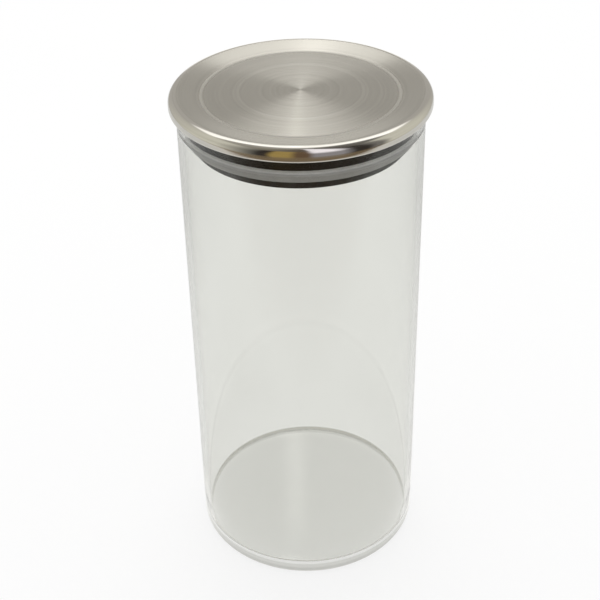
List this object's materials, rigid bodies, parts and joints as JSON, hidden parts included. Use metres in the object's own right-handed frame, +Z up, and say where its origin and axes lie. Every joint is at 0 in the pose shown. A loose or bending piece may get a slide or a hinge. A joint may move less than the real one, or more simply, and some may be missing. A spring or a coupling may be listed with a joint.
{
  "type": "lidded glass canister",
  "caption": "Tall straight-walled glass storage canister with a push-in lid: spun brushed steel cover on a dark moulded insert with a silicone lip seal.",
  "frame": {"origin": "centre of the foot, on the plane that the jar stands on", "axes": "+Z up along the jar's axis, out through the lid; the front of the picture looks along +Y"},
  "size_m": [0.1056, 0.1056, 0.2214],
  "materials": {
    "glass": "clear, very faint grey-green",
    "steel": "brushed in circles round the centre, polished on the rounded edge",
    "insert": "satin moulded black",
    "seal": "milky grey translucent silicone"
  },
  "bodies": {
    "jar": {"glass_jar": "glass"},
    "lid": {"lid_cover": "steel", "lid_insert": "insert", "seal_ring": "seal"}
  },
  "joints": [
    {"name": "lid_lift", "type": "slide", "parent": "jar", "child": "lid", "axis": [0, 0, 1], "range_m": [0, 0.12]}
  ]
}
